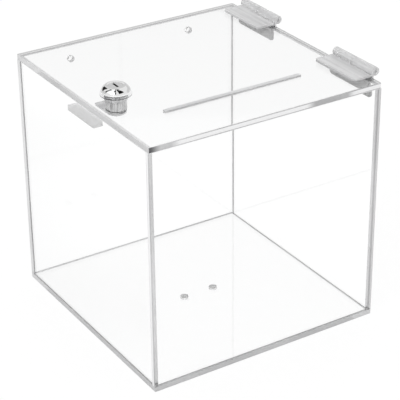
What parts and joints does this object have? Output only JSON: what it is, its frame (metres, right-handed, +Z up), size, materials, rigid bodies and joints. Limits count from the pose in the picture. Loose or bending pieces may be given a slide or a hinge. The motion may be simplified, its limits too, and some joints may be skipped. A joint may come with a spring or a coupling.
{
  "type": "ballot box",
  "caption": "Clear cube-shaped ballot box with a slotted, hinged lid, a domed cam lock that turns under a keeper inside the left wall, and screw holes in its floor and back.",
  "frame": {"origin": "centre of the floor's underside, where the case rests on a table", "axes": "+X to the hinge side, +Y from front to back, +Z up through the lid"},
  "size_m": [0.259, 0.25, 0.259],
  "materials": {
    "clear_sheet": "polished clear acrylic sheet",
    "hinge_plastic": "moulded translucent clear plastic",
    "washer_plastic": "soft clear plastic",
    "lock_chrome": "bright chrome plate",
    "lock_steel": "zinc-plated steel",
    "wafer_brass": "stamped brass"
  },
  "bodies": {
    "case": {"floor_panel": "clear_sheet", "front_wall": "clear_sheet", "back_wall": "clear_sheet", "left_wall": "clear_sheet", "right_wall": "clear_sheet", "cam_keeper": "clear_sheet", "front_wall_leaf": "hinge_plastic", "front_hinge_pin": "hinge_plastic", "rear_wall_leaf": "hinge_plastic", "rear_hinge_pin": "hinge_plastic"},
    "lid": {"lid_panel": "clear_sheet", "front_lid_leaf": "hinge_plastic", "rear_lid_leaf": "hinge_plastic", "lock_housing": "lock_chrome", "barrel_washer": "washer_plastic", "barrel_nut": "lock_steel"},
    "lock_core": {"lock_plug": "lock_chrome", "plug_wafers": "wafer_brass", "stop_washer": "lock_steel", "lock_cam": "lock_steel", "cam_washer": "lock_steel", "cam_screw": "lock_steel"}
  },
  "joints": [
    {"name": "lid_hinge", "type": "hinge", "parent": "case", "child": "lid", "pos_m": [0.1298, 0, 0.2548], "axis": [0, 1, 0], "range_deg": [0, 255]},
    {"name": "lock_turn", "type": "hinge", "parent": "lid", "child": "lock_core", "pos_m": [-0.089, -0.0055, 0.245], "axis": [0, 0, 1], "range_deg": [0, 90]}
  ]
}
